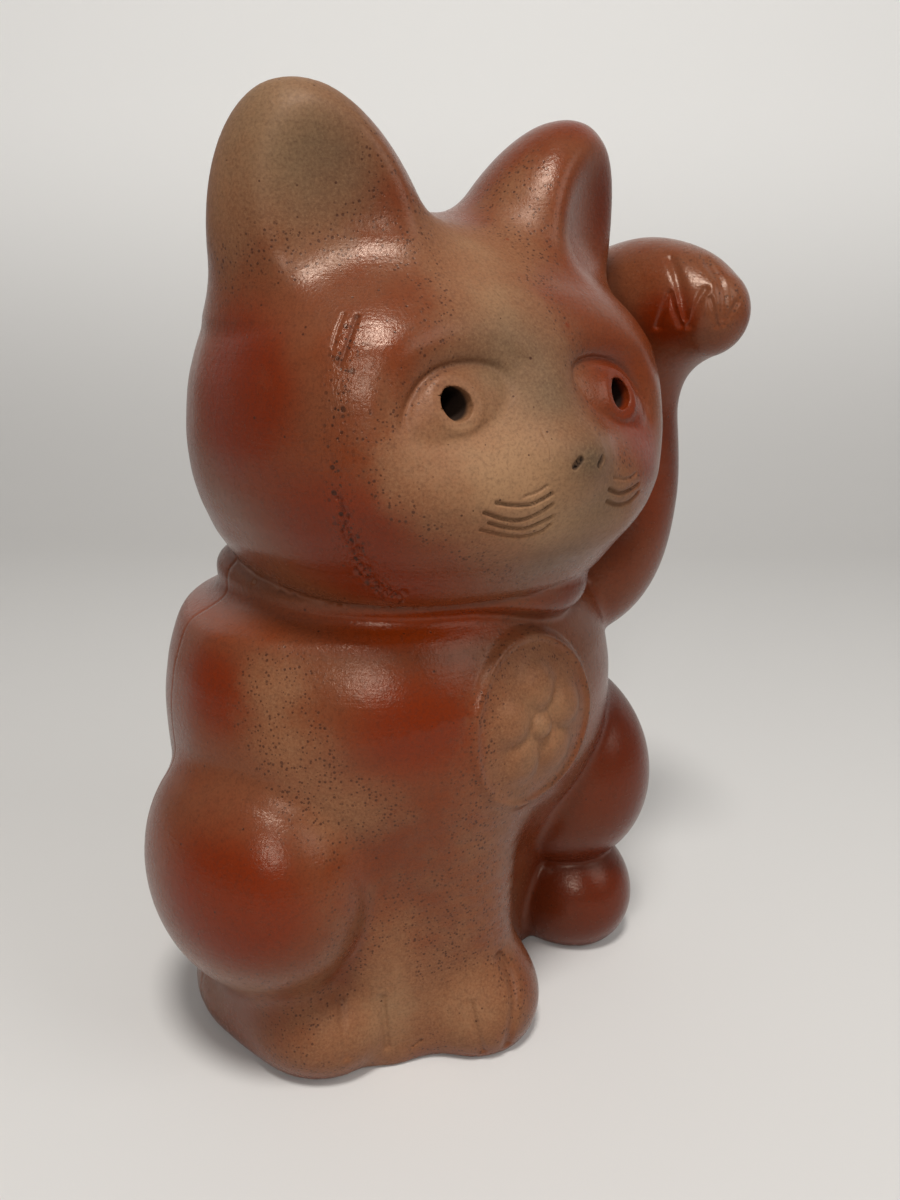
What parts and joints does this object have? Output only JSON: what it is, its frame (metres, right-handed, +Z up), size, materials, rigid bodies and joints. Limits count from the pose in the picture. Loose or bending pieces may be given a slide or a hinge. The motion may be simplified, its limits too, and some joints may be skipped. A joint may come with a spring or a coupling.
{
  "type": "beckoning cat figurine",
  "caption": "Hollow stoneware cat sitting upright with one forepaw raised beside its head, pierced eyes and an oval chest medallion; stands on a flat base.",
  "frame": {"origin": "on the table plane under the figure, in the cat's plane of symmetry, on the flat underside of the base slab", "axes": "+Z up through the head, -Y the way the cat faces, -X the cat's right side, +X the side of the raised paw"},
  "size_m": [0.1424, 0.1132, 0.2],
  "materials": {
    "burnished_clay": "burnished red-brown stoneware with tan ash flashing, semi-gloss",
    "bare_clay": "unburnished fired clay, matt"
  },
  "bodies": {
    "root": {"head_front_shell": "burnished_clay", "head_back_shell": "burnished_clay", "right_ear": "burnished_clay", "left_ear": "burnished_clay", "neck_collar": "burnished_clay", "body_front_shell": "burnished_clay", "body_back_shell": "burnished_clay", "base_slab": "bare_clay", "chest_medallion": "burnished_clay", "right_foreleg": "burnished_clay", "raised_foreleg": "burnished_clay", "right_haunch": "burnished_clay", "left_haunch": "burnished_clay", "right_hind_foot": "burnished_clay", "left_hind_foot": "burnished_clay", "tail": "burnished_clay"}
  },
  "joints": []
}
